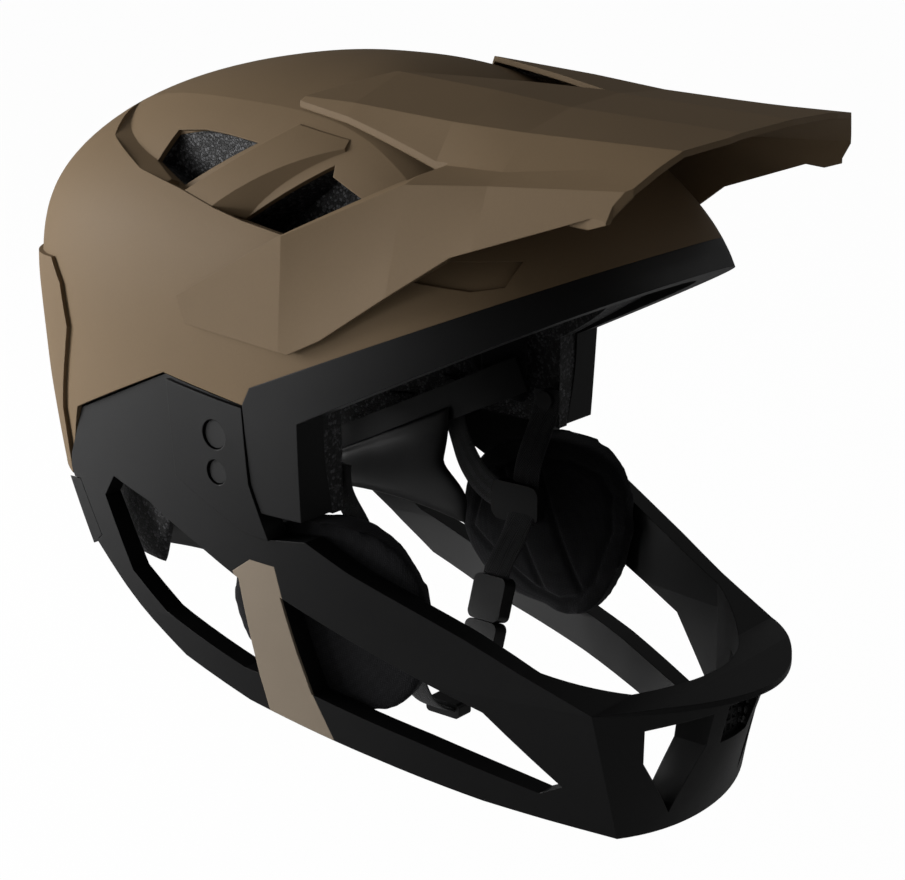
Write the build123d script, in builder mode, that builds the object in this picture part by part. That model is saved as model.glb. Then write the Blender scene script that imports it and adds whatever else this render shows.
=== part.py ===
from build123d import *
from math import atan, copysign, cos, pi, sin, sqrt, tan
import os

os.makedirs("parts", exist_ok=True)

# Full-face mountain bike helmet with a removable chin bar, in millimetres.
# The origin is the middle of the head at ear level. The wearer looks towards -Y, +Z is up,
# and every left and right pair is mirrored about X = 0.

# Dome: a superellipse in plan that closes upwards like an ellipse
dome_half_width = 107.5
dome_front = 131.0
dome_rear = 178.0
dome_centre_y = -8.0
equator_z = 60.0
crown_z = 151.0
plan_power = 2.5
brow_flare = 15.0
brow_flare_top_z = 112.0
brow_flare_depth = 30.0
nape_z = -42.0
nape_tuck_share = 0.05

# Walls and gaps
shell_wall = 2.5
hidden_wall = 3.0
arm_seat = 14.0
foam_inset = arm_seat + hidden_wall
recess_shift = (-13.0, -9.0, 9.5)
recess_lean = 0.39
recess_lean_x = 97.0
bridge_inset = 0.4
bridge_low = (97.0, 5.5, 98.5)
bridge_high = (75.2, -43.4, 122.8)
bridge_lean = (-16.0, 100.0)
bridge_low_x = 55.0
ramp_top = (36.8, 109.8, 124.6)
ramp_drop = 0.251
ramp_climb = 0.110
ramp_front_y = 38.0
ramp_rear_y = 130.0
ramp_low_x = 20.0
bulge_rise = 2.0
hollow_depth = 1.5
vent_pocket = 12.0
seat_gap = 0.3
part_gap = 0.6
pin_gap = 0.05
overrun = 40.0

# Head space inside the foam
head_half_width = 81.0
head_front = 108.0
head_rear = 116.0
head_centre_y = 4.0
head_equator_z = 18.0
head_crown_z = 121.0
head_low_z = -60.0

# Chin bar: how far its lip stands out and how far it hangs down are the scales of the side view
chin_reach = 206.0
chin_drop = 155.0
arm_peak_z = 30.0
arm_mid_drop = 40.0
lip_drop = 91.0
bar_wall = 10.0
lip_depth = 26.0
chin_skin = 12.0
ledge_depth = 8.0
plate_rise = 2.0
stripe_depth = 1.2
button_travel = 2.0
button_depth = 4.0
button_gap = 0.4
stem_radius = 1.5
stem_y = 105.0
stem_z = -56.0
stem_low_x = 77.0
stem_high_x = 84.5
mesh_wall = 1.5
mesh_rim = 1.5
mesh_y = -186.0
mesh_middle_z = -106.5
mesh_cell = 4.4
mesh_hole = 3.0
mesh_columns = 5
mesh_rows = 4
nose_vent_end_y = -140.0
cover_radius_1 = 6.0
cover_radius_2 = 5.0
cover_y = 1.0
cover_z_1 = 3.5
cover_z_2 = -13.0
cover_x_1 = 105.6
cover_x_2 = 104.8
cover_depth = 2.4
cover_ring = 0.5

# Visor
visor_wall = 2.4
visor_pivot_y = 0.0
visor_pivot_z = 57.0
visor_arm_from_x = 86.5
pivot_radius = 4.0
pivot_low_x = 101.0
pivot_high_x = 109.4
pivot_pocket = 0.3

# Pads
pad_depth = 6.0
brow_pad_half = 58.0
crown_pad_half = 20.0
nape_pad_half = 38.0
cheek_inner_x = 63.0
cheek_crown_radius = 160.0
cheek_middle_y = -42.0
cheek_middle_z = -76.0

# Fit dial and neck band
dial_y = 116.0
dial_z = -72.0
dial_lean_deg = 26.0
pinion_teeth = 9
pinion_radius = 4.5
pressure_angle = pi / 6
tooth_share = 0.8
tooth_tip = 0.7
tooth_root = 1.0
rack_bar = 3.0
rack_teeth = 11
band_wall = 1.6
tail_reach = 12.0
tail_start = 31.0
tail_join = 36.2
housing_width = 52.0
housing_depth = 5.2
housing_wall = 1.5
housing_corner = 3.0
shaft_radius = 2.5
knob_radius = 16.0
knob_depth = 10.0
knob_cap = 2.0
knob_gap = 0.3
knob_chamfer = 1.2
grip_radius = 3.0
grip_out_share = 0.55
grip_count = 14
hanger_half = 9.0

# Straps and buckle
strap_wall = 1.5
strap_width = 15.0
strap_y = -38.0
anchor_radius = 4.5
anchor_shank_radius = 2.0
front_anchor_z = -14.0
front_anchor_low_x = 71.2
rear_anchor_y = 21.0
rear_anchor_z = -19.0
rear_anchor_low_x = 77.0
anchor_high_x = 83.0
divider_x = 57.0
divider_y = -34.0
divider_z = -60.5
divider_width = 27.0
divider_height = 19.0
divider_depth = 5.6
divider_corner = 5.0
buckle_x = 30.0
buckle_z = -106.5
buckle_lean_deg = 18.9
buckle_width = 18.0
buckle_depth = 8.8
buckle_corner = 3.5
body_low = -4.0
body_high = 17.0
tongue_low = -17.5
tongue_high = -4.3
blade_width = 10.4
blade_depth = 2.6
blade_high = 9.5
blade_room = 0.5
release_radius = 3.5
release_y = 3.5
release_proud = 0.6
release_depth = 1.8
release_travel = 1.0
keeper_width = 19.0
keeper_height = 7.0
keeper_length = 9.0
keeper_corner = 2.0

ring_points = 20
strip_steps = 12
dome_turns = (0, 16, 32, 46, 58, 68, 77, 84, 88)
low_drop_shares = (1.0, 0.66, 0.33)


def side(shares, reach=chin_reach, drop=chin_drop):
    """Side-view (y, z) points from shares of the chin bar's reach and drop."""
    return [(along * reach, up * drop) for along, up in shares]


def plan_ring(half, front, rear, centre_y):
    """Points of a superellipse with one half length in front of centre_y and one behind."""
    points = []
    for step in range(ring_points):
        turn = 2 * pi * step / ring_points
        across = copysign(abs(cos(turn)) ** (2 / plan_power), cos(turn))
        along = copysign(abs(sin(turn)) ** (2 / plan_power), sin(turn))
        reach = rear if along > 0 else front
        points.append((half * across, centre_y + reach * along))
    return points


def lofted(rings):
    """One smooth solid through closed plan rings, each a height and its points."""
    with BuildPart() as body:
        for z, points in rings:
            with BuildSketch(Plane.XY.offset(z)):
                with BuildLine():
                    Spline(*points, periodic=True)
                make_face()
        loft()
    return body.part


def dome(inset):
    """The helmet's outer form drawn in by inset, as one solid from the nape up."""
    rise = crown_z - inset - equator_z
    levels = [(equator_z - (equator_z - nape_z) * share, 1 - nape_tuck_share * share ** 2)
              for share in low_drop_shares]
    levels += [(equator_z + rise * sin(turn * pi / 180), cos(turn * pi / 180)) for turn in dome_turns]
    rings = []
    for z, swell in levels:
        flare = brow_flare * min(1.6, max(0, (brow_flare_top_z - z) / brow_flare_depth))
        half = (dome_half_width - inset) * swell
        front = (dome_front - inset) * swell + flare
        rear = (dome_rear - inset) * swell
        rings.append((z, plan_ring(half, front, rear, dome_centre_y)))
    return lofted(rings)


def head_form(inset):
    """The space for the head, drawn in by inset, from below the foam up."""
    rise = head_crown_z - inset - head_equator_z
    levels = [(head_low_z, 1.0), ((head_low_z + head_equator_z) / 2, 1.0)]
    levels += [(head_equator_z + rise * sin(turn * pi / 180), cos(turn * pi / 180)) for turn in dome_turns]
    rings = [(z, plan_ring((head_half_width - inset) * swell, (head_front - inset) * swell,
                           (head_rear - inset) * swell, head_centre_y)) for z, swell in levels]
    return lofted(rings)


def front(shares):
    """Front-view (x, z) points from shares of the dome's half width and the chin bar's drop."""
    return [(across * dome_half_width, up * chin_drop) for across, up in shares]


def prism(points, low_x, high_x, grow=0):
    """A side-view outline of (y, z) points pushed along X from low_x to high_x."""
    with BuildPart() as body:
        with BuildSketch(Plane.YZ.offset(low_x)):
            with BuildLine():
                Polyline(*points, close=True)
            make_face()
            if grow > 0:
                offset(amount=grow, kind=Kind.INTERSECTION)
        extrude(amount=high_x - low_x)
    return body.part


def block(low_x, low_points, high_x, high_points, grow=0):
    """A solid with straight sides between two side-view outlines at two distances from the middle."""
    with BuildPart() as body:
        for x, points in ((low_x, low_points), (high_x, high_points)):
            with BuildSketch(Plane.YZ.offset(x)):
                with BuildLine():
                    Polyline(*points, close=True)
                make_face()
                if grow > 0:
                    offset(amount=grow, kind=Kind.INTERSECTION)
        loft(ruled=True)
    return body.part


def leaning(points, low_x, high_x, grow=0):
    """An outline drawn at recess_lean_x, pushed out along a direction that climbs by recess_lean."""
    low, high = [[(y, z + (x - recess_lean_x) * recess_lean) for y, z in points] for x in (low_x, high_x)]
    return block(low_x, low, high_x, high, grow)


def both_sides(points, low_x, high_x, grow=0):
    """The same prism on the right and on the left."""
    with BuildPart() as body:
        add(prism(points, low_x, high_x, grow))
        mirror(about=Plane.YZ)
    return body.part


def prism_y(points, low_y, high_y, grow=0):
    """A front-view outline of (x, z) points pushed along Y from high_y forward to low_y."""
    with BuildPart() as body:
        with BuildSketch(Plane.XZ.offset(-high_y)):
            with BuildLine():
                Polyline(*points, close=True)
            make_face()
            if grow > 0:
                offset(amount=grow, kind=Kind.INTERSECTION)
        extrude(amount=high_y - low_y)
    return body.part


def pin_x(radius, y, z, low_x, high_x):
    """A round pin along X on the left side."""
    with BuildPart() as body:
        with BuildSketch(Plane.YZ.offset(low_x)):
            with Locations((y, z)):
                Circle(radius)
        extrude(amount=high_x - low_x)
    return body.part


def pins_x(radius, y, z, low_x, high_x):
    """The same pin on both sides."""
    with BuildPart() as body:
        add(pin_x(radius, y, z, low_x, high_x))
        mirror(about=Plane.YZ)
    return body.part


def strip(points, wall):
    """Closed outline of a strip of even wall along a smooth line through its points."""
    with BuildLine() as middle:
        Spline(*points)
    line = middle.line
    outer = []
    inner = []
    for step in range(strip_steps + 1):
        place = line @ (step / strip_steps)
        ahead = line % (step / strip_steps)
        outer.append((place.X - ahead.Y * wall / 2, place.Y + ahead.X * wall / 2))
        inner.append((place.X + ahead.Y * wall / 2, place.Y - ahead.X * wall / 2))
    with BuildLine() as outline:
        Spline(*outer)
        Line(outer[-1], inner[-1])
        Spline(*reversed(inner))
        Line(inner[0], outer[0])
    return outline.line


def slab(points):
    """A side-view outline pushed right through the helmet."""
    return prism(points, -dome_half_width - overrun, dome_half_width + overrun)


# Side-view outlines, as shares of chin_reach forward and of chin_drop up
brow_rear_share = (-0.097, 0.174)
brow_front_share = (-0.850, 0.600)
ear_peak_share = (0.147, 0.163)
plate_top_share = (-0.075, 0.122)
bar_rear_share = (0.496, -0.036)
nape_front_share = (0.562, -0.200)
shell_line_shares = [(1.2, -0.290), (0.573, -0.290), nape_front_share, bar_rear_share, ear_peak_share,
                     plate_top_share, brow_rear_share, brow_front_share]
shell_top_shares = [(-0.850, 1.2), (1.2, 1.2)]
band_shares = [plate_top_share, brow_rear_share, brow_front_share, (-0.850, 0.520), (-0.214, 0.100),
               (-0.209, -0.174), (-0.105, -0.174), (-0.084, -0.097)]
skin_shares = [(-0.105, -0.190), (-0.105, 0.128), plate_top_share, ear_peak_share, bar_rear_share,
               (0.556, -0.190)]

foam_low_shares = [(-0.209, -0.180), (-0.209, 0.102), brow_front_share, brow_rear_share, plate_top_share,
                   ear_peak_share, bar_rear_share, nape_front_share, (0.562, -0.250), (0.480, -0.180)]

# Chin bar outlines in the side view: the whole bar, its raised plate, the windows and the stripe
bar_shares = [(0.1466, 0.1575), (0.493, -0.041), (0.5585, -0.202), (0.563, -0.245), (0.476, -0.432),
              (0.364, -0.542), (0.277, -0.619), (0.180, -0.697), (0.000, -0.776), (-0.204, -0.830),
              (-0.311, -0.858), (-0.539, -0.923), (-0.665, -0.950), (-0.796, -0.976), (-0.864, -0.992),
              (-1.2, -0.992), (-1.2, -0.570), (-0.898, -0.570), (-0.801, -0.584), (-0.655, -0.506),
              (-0.534, -0.432), (-0.301, -0.303), (-0.204, -0.235), (-0.121, -0.248), (-0.081, -0.097),
              (-0.072, 0.115)]
plate_shares = [(0.136, 0.148), (0.131, -0.129), (-0.063, -0.242), (-0.121, -0.248), (-0.081, -0.097),
                (-0.072, 0.113), (-0.02, 0.121)]
rear_window_shares = [(0.374, -0.210), (0.417, -0.282), (0.330, -0.484), (0.223, -0.571), (0.000, -0.671),
                      (-0.039, -0.677), (-0.019, -0.390), (0.083, -0.329), (0.248, -0.242)]
front_window_shares = [(-0.126, -0.416), (-0.350, -0.535), (-0.568, -0.639), (-0.709, -0.832),
                       (-0.660, -0.865), (-0.413, -0.774), (-0.172, -0.700), (-0.150, -0.581)]
stripe_shares = [(-0.005, -0.371), (-0.057, -0.323), (-0.121, -0.327), (-0.131, -0.413), (-0.170, -0.684),
                 (-0.228, -0.880), (-0.063, -0.880), (-0.031, -0.613), (-0.015, -0.439)]

# Chin bar outlines in plan at four heights, as shares of dome_half_width across and chin_reach forward
corner_wall_share = 0.3
top_arm_shares = [(0.781, 0.583), (0.912, 0.340), (0.977, 0.146), (0.972, -0.073), (0.921, -0.291),
                  (0.781, -0.558), (0.670, -0.777)]
top_nose_shares = [(0.419, -0.898), (0.0, -0.971)]
mid_arm_shares = [(0.763, 0.583), (0.888, 0.316), (0.944, 0.073), (0.940, -0.121), (0.874, -0.340),
                  (0.763, -0.558), (0.660, -0.786)]
mid_nose_shares = [(0.391, -0.917), (0.0, -0.990)]
lip_arm_shares = [(0.763, 0.583), (0.856, 0.316), (0.893, 0.073), (0.874, -0.121), (0.819, -0.340),
                  (0.740, -0.558), (0.642, -0.801)]
lip_nose_shares = [(0.353, -0.937), (0.0, -1.0)]
low_arm_shares = [(0.688, 0.583), (0.763, 0.316), (0.781, 0.073), (0.772, -0.121), (0.716, -0.340),
                  (0.605, -0.558), (0.447, -0.801)]
low_nose_shares = [(0.242, -0.840), (0.0, -0.854)]

# Side recess under the visor arms and the two openings in its floor
recess_shares = [(0.449, 0.808), (0.533, 0.955), (0.505, 1.084), (0.285, 1.097), (-0.080, 1.097),
                 (-0.291, 1.032), (-0.466, 0.890), (-0.398, 0.613), (-0.181, 0.573), (-0.055, 0.597),
                 (0.023, 0.619), (0.137, 0.662), (0.278, 0.705)]
rear_opening_shares = [(0.252, 0.845), (0.168, 0.854), (0.103, 0.848), (0.005, 0.832),
                       (0.167, 0.677), (0.275, 0.743)]
front_opening_shares = [(-0.209, 0.797), (-0.215, 0.763), (-0.296, 0.715),
                        (-0.243, 0.613), (-0.148, 0.583), (-0.024, 0.608)]
hollow_shares = [(-0.459, 0.505), (-0.505, 0.556), (-0.614, 0.556), (-0.607, 0.500), (-0.558, 0.489)]
bulge_shares = [(1.000, 0.330), (0.557, 0.392), (0.510, 0.330), (0.490, 0.206), (0.571, -0.066),
                (0.571, -0.290), (1.000, -0.290)]
bridge_shares = [(0.136, 0.640), (-0.079, 0.832), (-0.215, 0.810), (-0.224, 0.750), (-0.054, 0.590)]

# Small chin bar outlines: latch button and cheek pad from the side, nose openings from the front
button_shares = [(0.573, -0.277), (0.524, -0.271), (0.447, -0.416), (0.483, -0.455)]
cheek_pad_shares = [(0.024, -0.581), (-0.097, -0.245), (-0.320, -0.284), (-0.408, -0.426), (-0.311, -0.723),
                    (-0.097, -0.671)]
nose_vent_shares = [(0.447, -0.652), (0.186, -0.639), (0.167, -0.742), (0.251, -0.935), (0.419, -0.755)]
mesh_opening_shares = [(0.121, -0.626), (0.093, -0.748), (-0.093, -0.748), (-0.121, -0.626)]

# Visor: half sections from the arms' ends to the lip, each a share of chin_reach along and points as
# shares of dome_half_width across and of crown_z up, with the way that each point's wall goes inward
visor_station_shares = [
    (0.097, ((0.000, 1.020), (0.307, 1.003), (0.577, 0.927), (0.651, 0.871), (1.027, 0.497), (1.036, 0.291))),
    (-0.194, ((0.000, 1.003), (0.307, 0.984), (0.581, 0.921), (0.679, 0.848), (1.001, 0.609), (1.033, 0.285))),
    (-0.437, ((0.000, 0.974), (0.307, 0.960), (0.581, 0.901), (0.684, 0.801), (0.856, 0.765), (0.986, 0.450))),
    (-0.607, ((0.000, 0.950), (0.307, 0.937), (0.577, 0.894), (0.716, 0.808), (0.800, 0.781), (0.902, 0.609))),
    (-1.000, ((0.000, 0.927), (0.307, 0.917), (0.577, 0.894), (0.651, 0.868), (0.744, 0.815), (0.763, 0.785)))]
visor_inward_shares = [(0, -1), (0, -1), (-0.15, -1), (-0.3, -1), (-0.8, -0.6), (-0.85, 0)]
visor_plan_shares = [(0.0, -0.573), (0.310, -0.180), (0.595, -0.058), (0.684, -0.466), (0.809, -0.427),
                     (0.809, 0.194), (1.209, 0.194), (1.209, -0.777), (0.781, -0.874), (0.744, -0.903),
                     (0.577, -0.947), (0.372, -0.976), (0.0, -0.990)]
visor_arm_shares = [(0.080, 0.394), (-0.184, 0.590), (-0.417, 0.748), (-0.485, 1.032), (-1.117, 1.032),
                    (-1.117, 0.806), (-0.942, 0.768), (-0.563, 0.590), (-0.235, 0.290), (0.056, 0.321)]

# Liner pads from the side
brow_pad_shares = [(-0.233, 0.148), (-0.544, 0.390), (-0.544, 0.542), (-0.233, 0.303)]
crown_pad_shares = [(-0.291, 0.452), (-0.291, 0.871), (0.364, 0.871), (0.364, 0.452)]
nape_pad_shares = [(0.291, 0.052), (0.631, 0.052), (0.631, 0.323), (0.291, 0.323)]
side_pad_shares = [(-0.1165, -0.129), (-0.1165, 0.090), (-0.029, 0.219), (0.1165, 0.219), (0.165, 0.026),
                   (0.029, -0.052), (-0.010, -0.129)]

# Neck band in its own plane, hanger from the side, straps from the front
band_path_shares = [(0.3349, 0.0), (0.4279, -0.0078), (0.5581, -0.068), (0.6326, -0.1942),
                    (0.6605, -0.4126), (0.6651, -0.7621)]
hanger_shares = [(0.5738, -0.0516), (0.5855, -0.0516), (0.5855, -0.310), (0.5893, -0.4103),
                 (0.5796, -0.4103), (0.5738, -0.310)]
front_strap_shares = [(0.6865, -0.0581), (0.6865, -0.1032), (0.6558, -0.1548), (0.6047, -0.2097),
                      (0.5581, -0.271), (0.5302, -0.3871)]
rear_strap_shares = [(0.7355, 0.102, -0.0903), (0.7355, 0.102, -0.1742), (0.614, 0.029, -0.271),
                     (0.5395, -0.0777, -0.3677), (0.5302, -0.1335, -0.3871)]
short_strap_shares = [(0.5265, -0.3968), (0.4465, -0.4903), (0.3349, -0.5742), (0.3163, -0.6129)]
long_strap_shares = [(0.2419, -0.7613), (0.2233, -0.8), (0.1209, -0.8903), (0.0, -0.9226),
                     (-0.1209, -0.8903), (-0.2233, -0.8), (-0.3349, -0.5742), (-0.4465, -0.4903),
                     (-0.5265, -0.3968)]


def recess_cut(inset):
    """What the side recesses take from the dome, drawn in by inset for the wall's inner face."""
    with BuildPart() as left:
        add(leaning(side(recess_shares), inset, dome_half_width + overrun, inset))
        with Locations(recess_shift):
            add(dome(inset), mode=Mode.SUBTRACT)
    with BuildPart() as body:
        add(left.part)
        mirror(about=Plane.YZ)
    return body.part


def ramp_section(x):
    """Side-view corners, at one distance from the middle, of the ramp behind the rear opening."""
    top_x, top_y, top_z = ramp_top
    front_z, rear_z = [top_z - (x - top_x) * ramp_drop + (y - top_y) * ramp_climb
                       for y in (ramp_front_y, ramp_rear_y)]
    return [(ramp_front_y, front_z), (ramp_rear_y, rear_z), (ramp_rear_y, 0), (ramp_front_y, 0)]


def bridge_section(x):
    """Side-view corners, at one distance from the middle, of the space behind the bridge's chamfer."""
    share = (x - bridge_low[0]) / (bridge_high[0] - bridge_low[0])
    y = bridge_low[1] + (bridge_high[1] - bridge_low[1]) * share
    z = bridge_low[2] + (bridge_high[2] - bridge_low[2]) * share
    lean_y, lean_z = bridge_lean
    corners = [(y + lean_y, z + lean_z), (y - lean_y, z - lean_z)]
    return corners + [(along + dome_front, up) for along, up in reversed(corners)]


# Painted outer shell
with BuildPart() as bridge:
    add(prism(side(bridge_shares), bridge_low_x, dome_half_width))
    add(block(bridge_low_x, bridge_section(bridge_low_x), dome_half_width, bridge_section(dome_half_width)),
        mode=Mode.INTERSECT)
    add(dome(bridge_inset), mode=Mode.INTERSECT)
with BuildPart() as recess_floor:
    add(bridge.part)
    add(block(ramp_low_x, ramp_section(ramp_low_x), dome_half_width, ramp_section(dome_half_width)))
    mirror(about=Plane.YZ)
with BuildPart() as recess_space:
    add(recess_cut(0))
    add(recess_floor.part, mode=Mode.SUBTRACT)
recess_outer = recess_space.part
with BuildPart() as side_openings:
    for shares in (rear_opening_shares, front_opening_shares):
        add(leaning(side(shares), head_half_width - vent_pocket, dome_half_width + overrun))
    mirror(about=Plane.YZ)
with BuildPart() as rear_bulge:
    add(dome(-bulge_rise))
    add(slab(side(bulge_shares)), mode=Mode.INTERSECT)
with BuildPart() as arm_hollow:
    add(both_sides(side(hollow_shares), overrun, dome_half_width + overrun))
    add(dome(hollow_depth), mode=Mode.SUBTRACT)
with BuildPart() as outer_shell:
    add(dome(0))
    add(rear_bulge.part)
    add(recess_outer, mode=Mode.SUBTRACT)
    add(arm_hollow.part, mode=Mode.SUBTRACT)
    add(slab(side(shell_line_shares + shell_top_shares)), mode=Mode.INTERSECT)
shell_outside = outer_shell.part
with BuildPart() as shell_hollow:
    add(dome(shell_wall))
    add(recess_cut(shell_wall), mode=Mode.SUBTRACT)
shell_inside = shell_hollow.part
with BuildPart() as outer_shell:
    add(shell_outside)
    add(shell_inside, mode=Mode.SUBTRACT)
    add(side_openings.part, mode=Mode.SUBTRACT)
    add(pins_x(pivot_radius + pin_gap, visor_pivot_y, visor_pivot_z, overrun, dome_half_width + overrun),
        mode=Mode.SUBTRACT)
outer_shell.part.label = "outer_shell"
export_step(outer_shell.part, "parts/outer_shell.step")

# Black lower shell: brow band, eye port posts and the skin that the chin bar's arms lie over
seat_dome = dome(arm_seat)
with BuildPart() as lower_shell:
    add(dome(0))
    add(slab(side(band_shares)), mode=Mode.INTERSECT)
    add(dome(arm_seat + hidden_wall), mode=Mode.SUBTRACT)
band_part = lower_shell.part
with BuildPart() as lower_skin:
    add(seat_dome)
    add(slab(side(skin_shares)), mode=Mode.INTERSECT)
    add(dome(arm_seat + hidden_wall), mode=Mode.SUBTRACT)
with BuildPart() as lower_shell:
    add(band_part)
    add(lower_skin.part)
lower_shell.part.label = "lower_shell"
export_step(lower_shell.part, "parts/lower_shell.step")

# Foam liner: fills both shells, opens to the head below and to the face in front
head_space = head_form(0)
with BuildPart() as foam_core:
    add(shell_inside)
    add(slab(side(shell_line_shares + shell_top_shares)), mode=Mode.INTERSECT)
with BuildPart() as foam_low:
    add(dome(foam_inset))
    add(slab(side(foam_low_shares)), mode=Mode.INTERSECT)
with BuildPart() as foam_liner:
    add(foam_core.part)
    add(foam_low.part)
    add(head_space, mode=Mode.SUBTRACT)
    add(side_openings.part, mode=Mode.SUBTRACT)
    add(pins_x(pivot_radius + pivot_pocket, visor_pivot_y, visor_pivot_z, pivot_low_x - pivot_pocket,
               dome_half_width + overrun), mode=Mode.SUBTRACT)
foam_liner.part.label = "foam_liner"
export_step(foam_liner.part, "parts/foam_liner.step")


# Chin bar: two outer corner lines a side, joined round the front
def bar_ring(side_shares, front_shares, wall, front_wall, step_back=0.0):
    """Plan outline of the chin bar at one height; wall and front_wall draw it in."""
    *arm, corner = [(across * dome_half_width, along * chin_reach) for across, along in side_shares]
    right = [(x - wall, y + (overrun if wall > 0 and n == 0 else 0)) for n, (x, y) in enumerate(arm)]
    right.append((corner[0] - wall * corner_wall_share, corner[1] + front_wall))
    nose = [(across * dome_half_width, along * chin_reach + front_wall + step_back)
            for across, along in front_shares]
    left = [(-x, y) for x, y in reversed(right)]
    front = [right[-1], *nose, *[(-x, y) for x, y in reversed(nose[:-1])], left[0]]
    with BuildLine() as outline:
        Spline(*right)
        Spline(*front)
        Spline(*left)
        Line(left[-1], right[0])
    return outline


def bar_form(wall, front_wall, low_front_wall):
    """The chin bar's outer form, or its inner one when the walls are given."""
    with BuildPart() as upper:
        for z, arm, nose in ((arm_peak_z, top_arm_shares, top_nose_shares),
                             (-arm_mid_drop, mid_arm_shares, mid_nose_shares),
                             (-lip_drop, lip_arm_shares, lip_nose_shares)):
            with BuildSketch(Plane.XY.offset(z)):
                add(bar_ring(arm, nose, wall, front_wall).line)
                make_face()
        loft()
    back = ledge_depth if wall <= 0 else 0
    with BuildPart() as lower:
        with BuildSketch(Plane.XY.offset(-lip_drop)):
            add(bar_ring(lip_arm_shares, lip_nose_shares, wall, front_wall, back).line)
            make_face()
        with BuildSketch(Plane.XY.offset(-chin_drop)):
            add(bar_ring(low_arm_shares, low_nose_shares, wall, low_front_wall).line)
            make_face()
        loft(ruled=True)
    with BuildPart() as body:
        add(upper.part)
        add(lower.part)
    return body.part

bar_outside = bar_form(0, 0, 0)
bar_inside = bar_form(bar_wall, lip_depth, chin_skin)
with BuildPart() as plate:
    add(bar_form(-plate_rise, 0, 0))
    add(both_sides(side(plate_shares), overrun, dome_half_width + overrun), mode=Mode.INTERSECT)
with BuildPart() as window_cuts:
    for shares in (rear_window_shares, front_window_shares):
        add(both_sides(side(shares), overrun, dome_half_width + overrun))

# The inlay is the bar's own outer layer, so bar and inlay meet face to face
with BuildPart() as accent_stripes:
    add(bar_outside)
    add(bar_form(stripe_depth, stripe_depth, stripe_depth), mode=Mode.SUBTRACT)
    add(both_sides(side(stripe_shares), overrun, dome_half_width + overrun), mode=Mode.INTERSECT)
    add(slab(side(bar_shares)), mode=Mode.INTERSECT)
    add(window_cuts.part, mode=Mode.SUBTRACT)
accent_stripes.part.label = "accent_stripes"
export_step(accent_stripes.part, "parts/accent_stripes.step")

# Latch buttons ride 2 mm deep in pockets at the bar's rear edge, each on a guide stem
button_bed = bar_form(button_depth + button_travel + seat_gap, lip_depth, chin_skin)
with BuildPart() as button_pockets:
    add(both_sides(side(button_shares), overrun, dome_half_width + overrun, button_gap))
    add(button_bed, mode=Mode.SUBTRACT)
with BuildPart() as latch_button_left:
    add(bar_outside)
    add(bar_form(button_depth, lip_depth, chin_skin), mode=Mode.SUBTRACT)
    add(prism(side(button_shares), overrun, dome_half_width + overrun), mode=Mode.INTERSECT)
    add(pin_x(stem_radius, stem_y, stem_z, stem_low_x, stem_high_x))
latch_button_left.part.label = "latch_button_left"
export_step(latch_button_left.part, "parts/latch_button_left.step")
with BuildPart() as latch_button_right:
    add(latch_button_left.part.mirror(Plane.YZ))
latch_button_right.part.label = "latch_button_right"
export_step(latch_button_right.part, "parts/latch_button_right.step")

# Round covers over the bar's fixing screws, let into the raised plate
with BuildPart() as cover_discs:
    add(pins_x(cover_radius_1, cover_y, cover_z_1, cover_x_1 - cover_depth, cover_x_1))
    add(pins_x(cover_radius_2, cover_y, cover_z_2, cover_x_2 - cover_depth, cover_x_2))
cover_discs.part.label = "cover_discs"
export_step(cover_discs.part, "parts/cover_discs.step")

# Mesh panel in the nose opening
mesh_outline = front(mesh_opening_shares)
with BuildPart() as mesh_block:
    add(prism_y(mesh_outline, mesh_y, mesh_y + mesh_wall, mesh_rim))
with BuildPart() as chin_mesh:
    add(mesh_block.part)
    with BuildSketch(Plane.XZ.offset(-mesh_y - mesh_wall)):
        with Locations((0, mesh_middle_z)):
            with GridLocations(mesh_cell, mesh_cell, mesh_columns, mesh_rows):
                Rectangle(mesh_hole, mesh_hole)
    extrude(amount=mesh_wall, mode=Mode.SUBTRACT)
chin_mesh.part.label = "chin_mesh"
export_step(chin_mesh.part, "parts/chin_mesh.step")

with BuildPart() as chin_bar:
    add(bar_outside)
    add(slab(side(bar_shares)), mode=Mode.INTERSECT)
    add(plate.part)
    add(bar_inside, mode=Mode.SUBTRACT)
    add(dome(arm_seat - seat_gap), mode=Mode.SUBTRACT)
    add(window_cuts.part, mode=Mode.SUBTRACT)
    for way in (1, -1):
        add(prism_y([(way * x, z) for x, z in front(nose_vent_shares)], -chin_reach - overrun, nose_vent_end_y),
            mode=Mode.SUBTRACT)
    add(prism_y(mesh_outline, -chin_reach - overrun, nose_vent_end_y), mode=Mode.SUBTRACT)
    add(mesh_block.part, mode=Mode.SUBTRACT)
    add(accent_stripes.part, mode=Mode.SUBTRACT)
    add(button_pockets.part, mode=Mode.SUBTRACT)
    add(pins_x(stem_radius + pin_gap, stem_y, stem_z, overrun, stem_high_x), mode=Mode.SUBTRACT)
    add(pins_x(cover_radius_1 + cover_ring, cover_y, cover_z_1, cover_x_1 - cover_depth,
               dome_half_width + overrun), mode=Mode.SUBTRACT)
    add(pins_x(cover_radius_2 + cover_ring, cover_y, cover_z_2, cover_x_2 - cover_depth,
               dome_half_width + overrun), mode=Mode.SUBTRACT)
chin_bar.part.label = "chin_bar"
export_step(chin_bar.part, "parts/chin_bar.step")

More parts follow.
